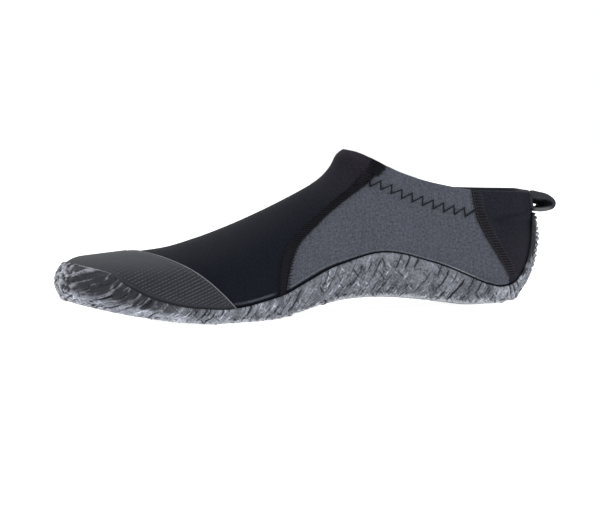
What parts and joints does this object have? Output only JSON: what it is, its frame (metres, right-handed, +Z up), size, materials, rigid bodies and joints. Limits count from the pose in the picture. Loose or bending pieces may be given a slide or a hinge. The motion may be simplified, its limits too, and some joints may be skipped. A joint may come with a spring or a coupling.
{
  "type": "wetsuit bootie",
  "caption": "Low-cut slip-on neoprene bootie for water sports, with a moulded rubber cup sole, toe bumper, rubber toe cap, stitched side panels and a heel pull loop, right foot.",
  "frame": {"origin": "middle of the part's box, on the plane that the sole stands on", "axes": "-X towards the toe and +X towards the heel, -Y the medial (big toe) side, +Z up"},
  "size_m": [0.2912, 0.1076, 0.092],
  "materials": {
    "outsole": "matte moulded grey rubber with a grooved side",
    "upper": "jersey-faced neoprene, black with grey side panels, soft sheen",
    "toe_cap": "dark-grey rubber sheet with fine slanting ribs",
    "insole": "fabric-faced foam",
    "pull_loop": "black woven tape",
    "seam": "black flat-lock stitching"
  },
  "bodies": {
    "root": {"outsole": "outsole", "upper": "upper", "toe_cap": "toe_cap", "insole": "insole", "pull_loop": "pull_loop", "seam_front_medial": "seam", "seam_front_lateral": "seam", "seam_heel_medial": "seam", "seam_heel_lateral": "seam"}
  },
  "joints": []
}
